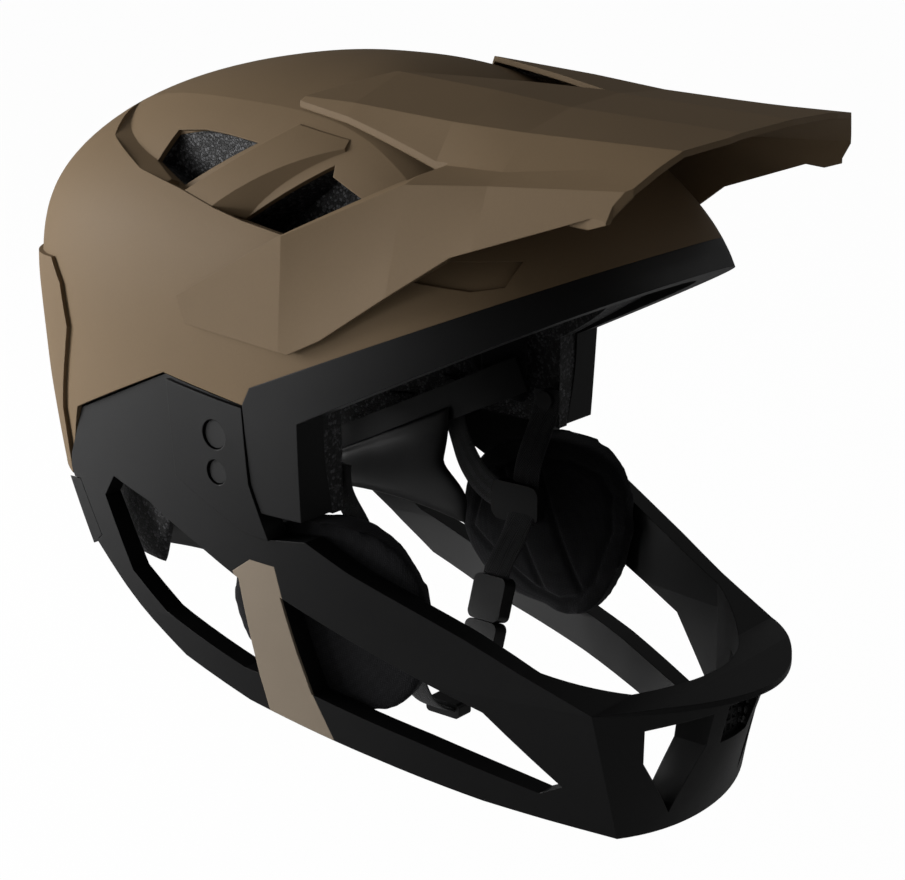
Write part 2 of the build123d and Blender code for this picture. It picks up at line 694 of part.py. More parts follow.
# Cheek pads: crowned towards the face, fixed to the bar's inner wall
with BuildPart() as cheek_pad_left:
    add(bar_inside)
    add(prism(side(cheek_pad_shares), cheek_inner_x, dome_half_width), mode=Mode.INTERSECT)
    with Locations((cheek_inner_x + cheek_crown_radius, cheek_middle_y, cheek_middle_z)):
        Sphere(cheek_crown_radius, mode=Mode.INTERSECT)
cheek_pad_left.part.label = "cheek_pad_left"
export_step(cheek_pad_left.part, "parts/cheek_pad_left.step")
with BuildPart() as cheek_pad_right:
    add(cheek_pad_left.part.mirror(Plane.YZ))
cheek_pad_right.part.label = "cheek_pad_right"
export_step(cheek_pad_right.part, "parts/cheek_pad_right.step")

# Visor: folded sheet lofted through six-point half sections, then trimmed in plan and from the side
with BuildPart() as visor_sheet:
    for along, half in visor_station_shares:
        right = [(across * dome_half_width, up * crown_z) for across, up in half]
        under = [(x + visor_wall * inward, z + visor_wall * down)
                 for (x, z), (inward, down) in zip(right, visor_inward_shares)]
        outline = [*reversed(right), *[(-x, z) for x, z in right[1:]],
                   *[(-x, z) for x, z in reversed(under)], *under[1:]]
        with BuildSketch(Plane.XZ.offset(-along * chin_reach)):
            with BuildLine():
                Polyline(*outline, close=True)
            make_face()
    loft(ruled=True)
visor_plan = [(across * dome_half_width, along * chin_reach) for across, along in visor_plan_shares]
with BuildPart() as visor_plan_cut:
    with BuildSketch(Plane.XY.offset(-overrun)):
        with BuildLine():
            Polyline(*visor_plan, *[(-x, y) for x, y in reversed(visor_plan[1:-1])], close=True)
        make_face()
    extrude(amount=crown_z + 2 * overrun)
with BuildPart() as visor_side_cut:
    add(slab(side(visor_arm_shares)))
    with Locations((0, 0, crown_z / 2)):
        Box(2 * visor_arm_from_x, 4 * chin_reach, 2 * crown_z)
with BuildPart() as visor:
    add(visor_sheet.part)
    add(visor_plan_cut.part, mode=Mode.INTERSECT)
    add(visor_side_cut.part, mode=Mode.INTERSECT)
visor.part.label = "visor"
export_step(visor.part, "parts/visor.step")
with BuildPart() as visor_pivots:
    add(pins_x(pivot_radius, visor_pivot_y, visor_pivot_z, pivot_low_x, pivot_high_x))
    add(visor.part, mode=Mode.SUBTRACT)
visor_pivots.part.label = "visor_pivots"
export_step(visor_pivots.part, "parts/visor_pivots.step")

# Liner pads: one layer on the foam's inner face, cut to the pads' places
with BuildPart() as pad_layer:
    add(head_space)
    add(head_form(pad_depth), mode=Mode.SUBTRACT)
for name, outline, low_x, high_x in (("brow_pad", brow_pad_shares, -brow_pad_half, brow_pad_half),
                                     ("crown_pad", crown_pad_shares, -crown_pad_half, crown_pad_half),
                                     ("nape_pad", nape_pad_shares, -nape_pad_half, nape_pad_half),
                                     ("side_pad_left", side_pad_shares, 0, head_half_width),
                                     ("side_pad_right", side_pad_shares, -head_half_width, 0)):
    with BuildPart() as pad:
        add(pad_layer.part)
        add(prism(side(outline), low_x, high_x), mode=Mode.INTERSECT)
    pad.part.label = name
    export_step(pad.part, f"parts/{name}.step")

# Fit dial: two racks on the neck band's tails run above and below one pinion
dial_lean = dial_lean_deg * pi / 180
dial_out = (0, cos(dial_lean), -sin(dial_lean))
dial_up = (0, sin(dial_lean), cos(dial_lean))
dial_face = Plane(origin=(0, dial_y, dial_z), x_dir=(-1, 0, 0), z_dir=dial_out)
band_plane = Plane(origin=(0, dial_y, dial_z), x_dir=(1, 0, 0), z_dir=dial_up)
tooth_pitch = 2 * pi * pinion_radius / pinion_teeth
rack_root = pinion_radius + tooth_root
rack_top = rack_root + rack_bar

with BuildPart() as dial_housing:
    with BuildSketch(dial_face.offset(-housing_depth / 2)):
        RectangleRounded(housing_width, 2 * (rack_top + seat_gap + housing_wall), housing_corner)
    extrude(amount=housing_depth)
    with BuildSketch(dial_face.offset(-band_wall / 2 - seat_gap)):
        Rectangle(housing_width, 2 * (rack_top + seat_gap))
    extrude(amount=band_wall + 2 * seat_gap, mode=Mode.SUBTRACT)
    with BuildSketch(dial_face):
        Circle(shaft_radius + pin_gap)
    extrude(amount=housing_depth, mode=Mode.SUBTRACT)
dial_housing.part.label = "dial_housing"
export_step(dial_housing.part, "parts/dial_housing.step")

flank_radii = [pinion_radius - tooth_root, pinion_radius * cos(pressure_angle), pinion_radius,
               pinion_radius + tooth_tip / 2, pinion_radius + tooth_tip]
flank_turn = tan(pressure_angle) - pressure_angle
pinion_points = []
for tooth in range(pinion_teeth):
    middle_turn = pi / 2 + 2 * pi * tooth / pinion_teeth
    for way in (-1, 1):
        for radius in flank_radii[::-way]:
            roll = sqrt(max(0, (radius / (pinion_radius * cos(pressure_angle))) ** 2 - 1))
            turn = tooth_share * pi / pinion_teeth / 2 + flank_turn - (roll - atan(roll))
            pinion_points.append((radius * cos(middle_turn + way * turn), radius * sin(middle_turn + way * turn)))
with BuildPart() as dial_pinion:
    with BuildSketch(dial_face.offset(-band_wall / 2)):
        with BuildLine():
            Polyline(*pinion_points, close=True)
        make_face()
    extrude(amount=band_wall)
    with BuildSketch(dial_face):
        Circle(shaft_radius)
    extrude(amount=knob_gap + housing_depth / 2 + knob_depth - knob_cap)
dial_pinion.part.label = "dial_pinion"
export_step(dial_pinion.part, "parts/dial_pinion.step")

with BuildPart() as dial_knob:
    with BuildSketch(dial_face.offset(housing_depth / 2 + knob_gap)):
        Circle(knob_radius)
        with PolarLocations(knob_radius + grip_radius * grip_out_share, grip_count):
            Circle(grip_radius, mode=Mode.SUBTRACT)
    extrude(amount=knob_depth)
    chamfer(dial_knob.faces().sort_by(Axis((0, 0, 0), dial_out))[-1].outer_wire().edges(), knob_chamfer)
    add(dial_pinion.part, mode=Mode.SUBTRACT)
dial_knob.part.label = "dial_knob"
export_step(dial_knob.part, "parts/dial_knob.step")


def band_half(way, lead):
    """One half of the neck band; the left one, way 1, has its rack above the pinion and lead teeth past it."""
    with BuildPart() as body:
        with BuildSketch(dial_face.offset(-band_wall / 2)):
            with BuildLine():
                low, high = way * rack_root, way * rack_top
                Polyline((way * tail_reach, low), (way * tail_reach, high), (-way * tail_join, high),
                         (-way * tail_join, low), close=True)
            make_face()
            with Locations((-way * (tail_join + tail_start) / 2, 0)):
                Rectangle(tail_join - tail_start, 2 * rack_top)
            for tooth in range(rack_teeth):
                middle = -way * (tooth - lead) * tooth_pitch
                base = tooth_pitch * tooth_share / 4 + tooth_root * tan(pressure_angle)
                tip = tooth_pitch * tooth_share / 4 - tooth_tip * tan(pressure_angle)
                with BuildLine():
                    Polyline((middle - base, low), (middle + base, low),
                             (middle + tip, way * (pinion_radius - tooth_tip)),
                             (middle - tip, way * (pinion_radius - tooth_tip)), close=True)
                make_face()
        extrude(amount=band_wall)
        with BuildSketch(band_plane.offset(-rack_top)):
            add(strip([(way * across * dome_half_width, along * chin_reach) for across, along in band_path_shares],
                      band_wall))
            make_face()
        extrude(amount=2 * rack_top)
    return body.part


for name, way, lead in (("band_left", 1, 2.5), ("band_right", -1, 3)):
    half = band_half(way, lead)
    half.label = name
    export_step(half, f"parts/{name}.step")

with BuildPart() as dial_hanger:
    add(prism(side(hanger_shares), -hanger_half, hanger_half))
    add(dial_housing.part, mode=Mode.SUBTRACT)
    add(foam_liner.part, mode=Mode.SUBTRACT)
dial_hanger.part.label = "dial_hanger"
export_step(dial_hanger.part, "parts/dial_hanger.step")


def front_webbing(shares):
    """Strap whose width runs along Y, through front-view places."""
    with BuildPart() as body:
        with BuildSketch(Plane.XZ.offset(-strap_y - strap_width / 2)):
            add(strip(front(shares), strap_wall))
            make_face()
        extrude(amount=strap_width)
    return body.part


# Straps: front and rear legs to a divider under each ear, then under the chin to the buckle
with BuildPart() as front_strap_left:
    add(front_webbing(front_strap_shares))
    add(pin_x(anchor_shank_radius, strap_y, front_anchor_z, overrun, anchor_high_x), mode=Mode.SUBTRACT)
front_strap_left.part.label = "front_strap_left"
export_step(front_strap_left.part, "parts/front_strap_left.step")
with BuildPart() as front_strap_right:
    add(front_strap_left.part.mirror(Plane.YZ))
front_strap_right.part.label = "front_strap_right"
export_step(front_strap_right.part, "parts/front_strap_right.step")

rear_places = [Vector(across * dome_half_width, along * chin_reach, up * chin_drop)
               for across, along, up in rear_strap_shares]
with BuildPart() as rear_strap_left:
    for step, place in enumerate(rear_places):
        ahead = rear_places[min(step + 1, len(rear_places) - 1)] - rear_places[max(step - 1, 0)]
        with BuildSketch(Plane(origin=place, x_dir=ahead.cross(Vector(1, 0, 0)), z_dir=ahead)):
            Rectangle(strap_width, strap_wall)
    loft(ruled=True)
    add(pin_x(anchor_shank_radius, rear_anchor_y, rear_anchor_z, overrun, anchor_high_x), mode=Mode.SUBTRACT)
rear_strap_left.part.label = "rear_strap_left"
export_step(rear_strap_left.part, "parts/rear_strap_left.step")
with BuildPart() as rear_strap_right:
    add(rear_strap_left.part.mirror(Plane.YZ))
rear_strap_right.part.label = "rear_strap_right"
export_step(rear_strap_right.part, "parts/rear_strap_right.step")

with BuildPart() as strap_anchors:
    add(pin_x(anchor_radius, strap_y, front_anchor_z, front_anchor_low_x, anchor_high_x))
    add(pin_x(anchor_radius, rear_anchor_y, rear_anchor_z, rear_anchor_low_x, anchor_high_x))
    add(foam_liner.part, mode=Mode.SUBTRACT)
    add(front_strap_left.part, mode=Mode.SUBTRACT)
    add(rear_strap_left.part, mode=Mode.SUBTRACT)
    mirror(about=Plane.YZ)
strap_anchors.part.label = "strap_anchors"
export_step(strap_anchors.part, "parts/strap_anchors.step")

short_strap = front_webbing(short_strap_shares)
long_strap = front_webbing(long_strap_shares)
with BuildPart() as divider:
    with BuildSketch(Plane.YZ.offset(divider_x - divider_depth / 2)):
        with Locations((divider_y, divider_z)):
            RectangleRounded(divider_width, divider_height, divider_corner)
    extrude(amount=divider_depth)
with BuildPart() as strap_dividers:
    add(divider.part)
    mirror(about=Plane.YZ)
    for webbing in (front_strap_left, front_strap_right, rear_strap_left, rear_strap_right):
        add(webbing.part, mode=Mode.SUBTRACT)
    add(short_strap, mode=Mode.SUBTRACT)
    add(long_strap, mode=Mode.SUBTRACT)
strap_dividers.part.label = "strap_dividers"
export_step(strap_dividers.part, "parts/strap_dividers.step")

# Buckle: the tongue's blade runs into the body, the round button releases it
buckle_lean = buckle_lean_deg * pi / 180
buckle_face = Plane(origin=(buckle_x, strap_y, buckle_z), x_dir=(0, 1, 0),
                    z_dir=(cos(buckle_lean), 0, -sin(buckle_lean)))
with BuildPart() as buckle_tongue:
    with BuildSketch(buckle_face.offset(-buckle_depth / 2)):
        with Locations((0, (tongue_low + tongue_high) / 2)):
            RectangleRounded(buckle_width, tongue_high - tongue_low, buckle_corner)
    extrude(amount=buckle_depth)
    with BuildSketch(buckle_face.offset(-blade_depth / 2)):
        with Locations((0, (tongue_high + blade_high) / 2)):
            Rectangle(blade_width, blade_high - tongue_high)
    extrude(amount=blade_depth)
    add(long_strap, mode=Mode.SUBTRACT)
buckle_tongue.part.label = "buckle_tongue"
export_step(buckle_tongue.part, "parts/buckle_tongue.step")
with BuildPart() as buckle_body:
    with BuildSketch(buckle_face.offset(-buckle_depth / 2)):
        with Locations((0, (body_low + body_high) / 2)):
            RectangleRounded(buckle_width, body_high - body_low, buckle_corner)
    extrude(amount=buckle_depth)
    with BuildSketch(buckle_face.offset(-blade_depth / 2 - seat_gap)):
        with Locations((0, (body_low + blade_high + blade_room) / 2)):
            Rectangle(blade_width + 2 * seat_gap, blade_high + blade_room - body_low)
    extrude(amount=blade_depth + 2 * seat_gap, mode=Mode.SUBTRACT)
    with BuildSketch(buckle_face.offset(buckle_depth / 2 + release_proud - release_depth - release_travel)):
        with Locations((0, release_y)):
            Circle(release_radius + pin_gap)
    extrude(amount=buckle_depth, mode=Mode.SUBTRACT)
    add(short_strap, mode=Mode.SUBTRACT)
buckle_body.part.label = "buckle_body"
export_step(buckle_body.part, "parts/buckle_body.step")
with BuildPart() as buckle_button:
    with BuildSketch(buckle_face.offset(buckle_depth / 2 + release_proud - release_depth)):
        with Locations((0, release_y)):
            Circle(release_radius)
    extrude(amount=release_depth)
buckle_button.part.label = "buckle_button"
export_step(buckle_button.part, "parts/buckle_button.step")

for name, webbing in (("chin_strap_left", short_strap), ("chin_strap_right", long_strap)):
    webbing.label = name
    export_step(webbing, f"parts/{name}.step")

with BuildPart() as strap_keeper:
    with BuildSketch(Plane.YZ.offset(-keeper_length / 2)):
        with Locations((strap_y, long_strap_shares[3][1] * chin_drop)):
            RectangleRounded(keeper_width, keeper_height, keeper_corner)
    extrude(amount=keeper_length)
    add(long_strap, mode=Mode.SUBTRACT)
strap_keeper.part.label = "strap_keeper"
export_step(strap_keeper.part, "parts/strap_keeper.step")
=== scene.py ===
from math import radians, pi

import bmesh
import bpy
import numpy as np
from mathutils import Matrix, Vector
from mathutils.bvhtree import BVHTree


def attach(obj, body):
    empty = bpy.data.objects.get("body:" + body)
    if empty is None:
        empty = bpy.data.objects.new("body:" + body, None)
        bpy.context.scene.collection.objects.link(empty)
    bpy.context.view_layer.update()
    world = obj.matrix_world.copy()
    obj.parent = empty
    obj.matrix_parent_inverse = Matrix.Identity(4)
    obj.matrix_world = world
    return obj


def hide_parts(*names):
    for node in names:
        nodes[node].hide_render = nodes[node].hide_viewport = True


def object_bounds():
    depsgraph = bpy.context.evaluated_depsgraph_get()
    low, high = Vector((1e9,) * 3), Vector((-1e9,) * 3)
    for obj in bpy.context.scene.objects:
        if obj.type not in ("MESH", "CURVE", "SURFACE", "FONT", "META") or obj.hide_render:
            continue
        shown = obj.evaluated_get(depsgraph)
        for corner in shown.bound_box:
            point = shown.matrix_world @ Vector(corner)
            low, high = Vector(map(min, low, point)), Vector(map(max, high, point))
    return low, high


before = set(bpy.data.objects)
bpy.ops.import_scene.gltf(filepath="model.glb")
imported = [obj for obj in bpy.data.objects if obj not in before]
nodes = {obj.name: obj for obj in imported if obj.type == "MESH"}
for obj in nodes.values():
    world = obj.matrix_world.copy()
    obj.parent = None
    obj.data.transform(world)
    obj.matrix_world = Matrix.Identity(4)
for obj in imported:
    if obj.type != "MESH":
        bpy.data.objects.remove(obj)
cad_box = [list(corner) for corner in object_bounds()]

# Camera: a portrait-length lens a little above the eye port, on the wearer's right front.
# Its place was found from pairs of mirrored features, such as the two ends of the visor's lip.
view_azimuth = radians(-51.60)
view_elevation = radians(16.58)
view_distance = 0.895
view_target = Vector((-0.0555, -0.0843, 0.0050))
focal_pixels = 2197
picture_width_pixels = 905
sensor_width_mm = 36.0
towards_camera = Vector((np.sin(view_azimuth) * np.cos(view_elevation),
                         -np.cos(view_azimuth) * np.cos(view_elevation),
                         np.sin(view_elevation)))
camera_data = bpy.data.cameras.new("camera")
camera_data.sensor_fit = "HORIZONTAL"
camera_data.sensor_width = sensor_width_mm
camera_data.lens = sensor_width_mm * focal_pixels / picture_width_pixels
camera = bpy.data.objects.new("camera", camera_data)
camera.location = view_target + view_distance * towards_camera
camera.rotation_euler = towards_camera.to_track_quat("Z", "Y").to_euler()
bpy.context.scene.collection.objects.link(camera)
bpy.context.scene.camera = camera
bpy.context.scene.view_settings.view_transform = "Standard"

# Studio: a white floor, low enough for the chin bar to be drawn off above it, a large soft lamp
# from the left rear, weaker ones round it, and a white world that the camera sees as paper.
floor_drop = 0.101
floor_z = cad_box[0][2] - floor_drop
floor_reach = 6.0
floor_grey = 0.6
floor_seen_white = 0.94
paper_white = 1.04
world_light = 0.11
world_seen_white = 1.0


def plain_material(name):
    """A node material with its Principled shader, ready for its own nodes."""
    material = bpy.data.materials.new(name)
    material.use_nodes = True
    return material, material.node_tree, material.node_tree.nodes["Principled BSDF"]


def sheet_mesh(name, points):
    """Mesh from a grid of points, shape (rows, columns, 3): one quad between four neighbours."""
    rows, columns = points.shape[:2]
    corner = np.arange(rows * columns).reshape(rows, columns)
    quads = np.stack([corner[:-1, :-1], corner[:-1, 1:], corner[1:, 1:], corner[1:, :-1]], axis=-1)
    mesh = bpy.data.meshes.new(name)
    mesh.from_pydata(points.reshape(-1, 3).tolist(), [], quads.reshape(-1, 4).tolist())
    mesh.shade_smooth()
    thing = bpy.data.objects.new(name, mesh)
    bpy.context.scene.collection.objects.link(thing)
    return thing


side = np.array([-floor_reach, floor_reach])
floor_x, floor_y = np.meshgrid(side, side, indexing="xy")
floor_points = np.stack([floor_x, floor_y, np.full_like(floor_x, floor_z)], axis=-1)
floor = sheet_mesh("studio_floor", floor_points)
floor_paper, tree, shader = plain_material("studio_paper")
shader.inputs["Base Color"].default_value = (floor_grey, floor_grey, floor_grey, 1)
shader.inputs["Roughness"].default_value = 0.9
shader.inputs["Specular IOR Level"].default_value = 0.0
floor.data.materials.append(floor_paper)
path = tree.nodes.new("ShaderNodeLightPath")
white = tree.nodes.new("ShaderNodeEmission")
white.inputs["Strength"].default_value = paper_white
lifted = tree.nodes.new("ShaderNodeMixShader")
seen = tree.nodes.new("ShaderNodeMath")
seen.operation = "MULTIPLY"
seen.inputs[1].default_value = floor_seen_white
tree.links.new(path.outputs["Is Camera Ray"], seen.inputs[0])
tree.links.new(seen.outputs[0], lifted.inputs["Fac"])
tree.links.new(shader.outputs["BSDF"], lifted.inputs[1])
tree.links.new(white.outputs["Emission"], lifted.inputs[2])
tree.links.new(lifted.outputs["Shader"], tree.nodes["Material Output"].inputs["Surface"])

world = bpy.data.worlds.new("studio_world")
world.use_nodes = True
bpy.context.scene.world = world
tree = world.node_tree
path = tree.nodes.new("ShaderNodeLightPath")
straight = tree.nodes.new("ShaderNodeMath")
straight.operation = "MAXIMUM"
tree.links.new(path.outputs["Is Camera Ray"], straight.inputs[0])
tree.links.new(path.outputs["Is Transmission Ray"], straight.inputs[1])
strength = tree.nodes.new("ShaderNodeMapRange")
strength.inputs["To Min"].default_value = world_light
strength.inputs["To Max"].default_value = world_seen_white
tree.links.new(straight.outputs[0], strength.inputs["Value"])
tree.links.new(strength.outputs["Result"], tree.nodes["Background"].inputs["Strength"])
tree.nodes["Background"].inputs["Color"].default_value = (1, 1, 1, 1)


def soft_lamp(name, place, aim, size, watts):
    """A square area lamp at place that faces aim."""
    data = bpy.data.lights.new(name, "AREA")
    data.shape = "SQUARE"
    data.size = size
    data.energy = watts
    lamp = bpy.data.objects.new(name, data)
    lamp.location = place
    lamp.rotation_euler = (Vector(place) - Vector(aim)).to_track_quat("Z", "Y").to_euler()
    bpy.context.scene.collection.objects.link(lamp)


# Each lamp: name, place, the point that it faces, side in metres and power in watts.
for lamp_row in (("key_lamp", (-0.97, 1.62, 0.40), (0, 0, 0.05), 0.9, 31),
                 ("top_lamp", (-0.9, 0.5, 1.5), (0, 0, 0), 1.0, 0.8),
                 ("side_lamp", (-1.9, 0.6, 0.15), (0, -0.05, 0), 0.9, 1.8),
                 ("low_lamp", (-1.5, 1.1, -0.04), (0, 0, -0.05), 0.3, 5),
                 ("right_lamp", (1.5, -0.9, 0.5), (0, -0.1, 0.05), 0.8, 1.2)):
    soft_lamp(*lamp_row)

# Shared surface effects. Fine grain is the spark-eroded skin of moulded plastic or the orange peel
# of matte paint: smooth noise at two scales, out as a value round one half.
coarse_to_fine = 0.06
grain = bpy.data.node_groups.new("fine_grain", "ShaderNodeTree")
grain.interface.new_socket("Scale", in_out="INPUT", socket_type="NodeSocketFloat")
grain.interface.new_socket("Coarse Share", in_out="INPUT", socket_type="NodeSocketFloat")
grain.interface.new_socket("Value", in_out="OUTPUT", socket_type="NodeSocketFloat")
group_in = grain.nodes.new("NodeGroupInput")
group_out = grain.nodes.new("NodeGroupOutput")
place = grain.nodes.new("ShaderNodeTexCoord")
fine = grain.nodes.new("ShaderNodeTexNoise")
fine.inputs["Detail"].default_value = 3.0
coarse = grain.nodes.new("ShaderNodeTexNoise")
coarse.inputs["Detail"].default_value = 2.0
coarse_scale = grain.nodes.new("ShaderNodeMath")
coarse_scale.operation = "MULTIPLY"
coarse_scale.inputs[1].default_value = coarse_to_fine
blend_grain = grain.nodes.new("ShaderNodeMix")
for texture in (fine, coarse):
    grain.links.new(place.outputs["Object"], texture.inputs["Vector"])
grain.links.new(group_in.outputs["Scale"], fine.inputs["Scale"])
grain.links.new(group_in.outputs["Scale"], coarse_scale.inputs[0])
grain.links.new(coarse_scale.outputs[0], coarse.inputs["Scale"])
grain.links.new(group_in.outputs["Coarse Share"], blend_grain.inputs["Factor"])
grain.links.new(fine.outputs["Fac"], blend_grain.inputs["A"])
grain.links.new(coarse.outputs["Fac"], blend_grain.inputs["B"])
grain.links.new(blend_grain.outputs["Result"], group_out.inputs["Value"])


def grained_finish(name, dark, light, rough_low, rough_high, scale, coarse_share, bump_height,
                   specular=0.25, edge_radius=0.0006):
    """Moulded or painted finish: colour and roughness vary with the grain, which also lifts a
    bump. Edges catch the light as if rounded by edge_radius."""
    material, tree, shader = plain_material(name)
    group = tree.nodes.new("ShaderNodeGroup")
    group.node_tree = grain
    group.inputs["Scale"].default_value = scale
    group.inputs["Coarse Share"].default_value = coarse_share
    tint = tree.nodes.new("ShaderNodeMix")
    tint.data_type = "RGBA"
    tint.inputs["A"].default_value = (*dark, 1)
    tint.inputs["B"].default_value = (*light, 1)
    rough = tree.nodes.new("ShaderNodeMapRange")
    rough.inputs["To Min"].default_value = rough_low
    rough.inputs["To Max"].default_value = rough_high
    bump = tree.nodes.new("ShaderNodeBump")
    bump.inputs["Strength"].default_value = 1.0
    bump.inputs["Distance"].default_value = bump_height
    rounded = tree.nodes.new("ShaderNodeBevel")
    rounded.samples = 4
    rounded.inputs["Radius"].default_value = edge_radius
    tree.links.new(rounded.outputs["Normal"], bump.inputs["Normal"])
    tree.links.new(group.outputs["Value"], tint.inputs["Factor"])
    tree.links.new(group.outputs["Value"], rough.inputs["Value"])
    tree.links.new(group.outputs["Value"], bump.inputs["Height"])
    tree.links.new(tint.outputs["Result"], shader.inputs["Base Color"])
    tree.links.new(rough.outputs["Result"], shader.inputs["Roughness"])
    tree.links.new(bump.outputs["Normal"], shader.inputs["Normal"])
    shader.inputs["Specular IOR Level"].default_value = specular
    return material


def finish_node(name, material):
    """The CAD node keeps its shape and takes the material."""
    thing = nodes[name]
    thing.data.materials.clear()
    thing.data.materials.append(material)


# Outer shell: thin polycarbonate moulded over the liner and sprayed matte tan.
tan_paint = grained_finish("tan_paint", (0.200, 0.138, 0.078), (0.228, 0.158, 0.090),
                           0.60, 0.70, 900, 0.4, 0.00002, specular=0.2)
finish_node("outer_shell", tan_paint)

# Lower shell: black band under the tan shell, moulded in one with the posts beside the eye port.
black_moulding = grained_finish("black_moulding", (0.004, 0.004, 0.0042), (0.007, 0.007, 0.0074),
                                0.42, 0.56, 1600, 0.3, 0.00003)
finish_node("lower_shell", black_moulding)

# Foam liner: expanded beads fused in a mould, so the cut face shows each bead's outline.
foam_beads, tree, shader = plain_material("foam_beads")
bead_size = 0.0013
seam_share = 0.16
black_share = 0.45
place = tree.nodes.new("ShaderNodeTexCoord")
beads = tree.nodes.new("ShaderNodeTexVoronoi")
beads.feature = "DISTANCE_TO_EDGE"
beads.inputs["Scale"].default_value = 1 / bead_size
bead_tint = tree.nodes.new("ShaderNodeTexVoronoi")
bead_tint.inputs["Scale"].default_value = 1 / bead_size
tree.links.new(place.outputs["Object"], beads.inputs["Vector"])
tree.links.new(place.outputs["Object"], bead_tint.inputs["Vector"])
seam = tree.nodes.new("ShaderNodeMapRange")
seam.inputs["From Max"].default_value = seam_share
spread = tree.nodes.new("ShaderNodeSeparateColor")
tree.links.new(beads.outputs["Distance"], seam.inputs["Value"])
tree.links.new(bead_tint.outputs["Color"], spread.inputs["Color"])
shade = tree.nodes.new("ShaderNodeMix")
shade.data_type = "RGBA"
shade.inputs["A"].default_value = (0.006, 0.006, 0.0065, 1)
shade.inputs["B"].default_value = (0.110, 0.110, 0.116, 1)
pale = tree.nodes.new("ShaderNodeMapRange")
pale.interpolation_type = "SMOOTHSTEP"
pale.inputs["From Min"].default_value = black_share
tree.links.new(spread.outputs["Red"], pale.inputs["Value"])
tree.links.new(pale.outputs["Result"], shade.inputs["Factor"])
cleft = tree.nodes.new("ShaderNodeMix")
cleft.data_type = "RGBA"
cleft.inputs["A"].default_value = (0.004, 0.004, 0.004, 1)
tree.links.new(seam.outputs["Result"], cleft.inputs["Factor"])
tree.links.new(shade.outputs["Result"], cleft.inputs["B"])
tree.links.new(cleft.outputs["Result"], shader.inputs["Base Color"])
bump = tree.nodes.new("ShaderNodeBump")
bump.inputs["Distance"].default_value = 0.0002
tree.links.new(seam.outputs["Result"], bump.inputs["Height"])
tree.links.new(bump.outputs["Normal"], shader.inputs["Normal"])
shader.inputs["Roughness"].default_value = 0.62
finish_node("foam_liner", foam_beads)

# Chin bar: one glass-filled moulding, satin black.
satin_black = grained_finish("satin_black", (0.004, 0.004, 0.0042), (0.008, 0.008, 0.0084),
                             0.36, 0.48, 1300, 0.3, 0.00002)
finish_node("chin_bar", satin_black)

# Accent stripes: tan inlays snapped into the struts.
tan_inlay = grained_finish("tan_inlay", (0.300, 0.243, 0.183), (0.335, 0.272, 0.205),
                           0.55, 0.65, 1200, 0.4, 0.00002)
finish_node("accent_stripes", tan_inlay)

# Small black mouldings: covers, buttons, pivot pins, dial parts and buckle.
small_black = grained_finish("small_black", (0.004, 0.004, 0.0042), (0.008, 0.008, 0.0084),
                             0.35, 0.5, 1800, 0.2, 0.00002, edge_radius=0.0003)
for name in ("cover_discs", "latch_button_left", "latch_button_right", "visor_pivots",
             "dial_hanger", "dial_housing", "dial_knob", "dial_pinion", "band_left", "band_right",
             "strap_anchors", "strap_dividers", "buckle_body", "buckle_tongue", "buckle_button",
             "strap_keeper", "chin_mesh"):
    finish_node(name, small_black)

# Visor: thin tan moulding with folded ridges.
finish_node("visor", tan_paint)

# Pads: cut foam in a brushed knit cover, stuck by their backs to the liner or to the chin bar.
# Each is blown out of a solid by cloth pressure with its back held, then pressed in along seams.
knit, tree, shader = plain_material("knit")
shader.inputs["Roughness"].default_value = 0.92
shader.inputs["Specular IOR Level"].default_value = 0.2
shader.inputs["Sheen Weight"].default_value = 0.25
shader.inputs["Sheen Roughness"].default_value = 0.5
shader.inputs["Sheen Tint"].default_value = (0.35, 0.35, 0.37, 1)
loop_size = 0.0009
place = tree.nodes.new("ShaderNodeTexCoord")
loops = tree.nodes.new("ShaderNodeTexVoronoi")
loops.inputs["Scale"].default_value = 1 / loop_size
loops.inputs["Randomness"].default_value = 0.35
nap = tree.nodes.new("ShaderNodeTexNoise")
nap.inputs["Scale"].default_value = 140
nap.inputs["Detail"].default_value = 4.0
loop_tint = tree.nodes.new("ShaderNodeMix")
loop_tint.data_type = "RGBA"
loop_tint.inputs["A"].default_value = (0.016, 0.016, 0.018, 1)
loop_tint.inputs["B"].default_value = (0.005, 0.005, 0.006, 1)
nap_tint = tree.nodes.new("ShaderNodeMix")
nap_tint.data_type = "RGBA"
nap_tint.blend_type = "MULTIPLY"
nap_tint.inputs["Factor"].default_value = 0.6
bump = tree.nodes.new("ShaderNodeBump")
bump.inputs["Distance"].default_value = 0.00025
bump.invert = True
for texture in (loops, nap):
    tree.links.new(place.outputs["Object"], texture.inputs["Vector"])
tree.links.new(loops.outputs["Distance"], loop_tint.inputs["Factor"])
tree.links.new(loop_tint.outputs["Result"], nap_tint.inputs["A"])
tree.links.new(nap.outputs["Fac"], nap_tint.inputs["B"])
tree.links.new(nap_tint.outputs["Result"], shader.inputs["Base Color"])
tree.links.new(loops.outputs["Distance"], bump.inputs["Height"])
tree.links.new(bump.outputs["Normal"], shader.inputs["Normal"])

head_centre = np.array([0.0, 0.004, 0.018])
pad_frames = 20
pad_step = 0.0024
pad_swell = 0.0016
pad_pressure = 4
drawn_in_share = 0.45
held_facing = (0.15, 0.45)
free_facing = (-0.35, 0.1)


def points_of(mesh):
    """The mesh's vertices as an array, one row each."""
    flat = np.empty(len(mesh.vertices) * 3)
    mesh.vertices.foreach_get("co", flat)
    return flat.reshape(-1, 3)


def normals_of(mesh):
    """The mesh's vertex normals as an array, one row each."""
    flat = np.empty(len(mesh.vertices) * 3)
    mesh.vertices.foreach_get("normal", flat)
    return flat.reshape(-1, 3)


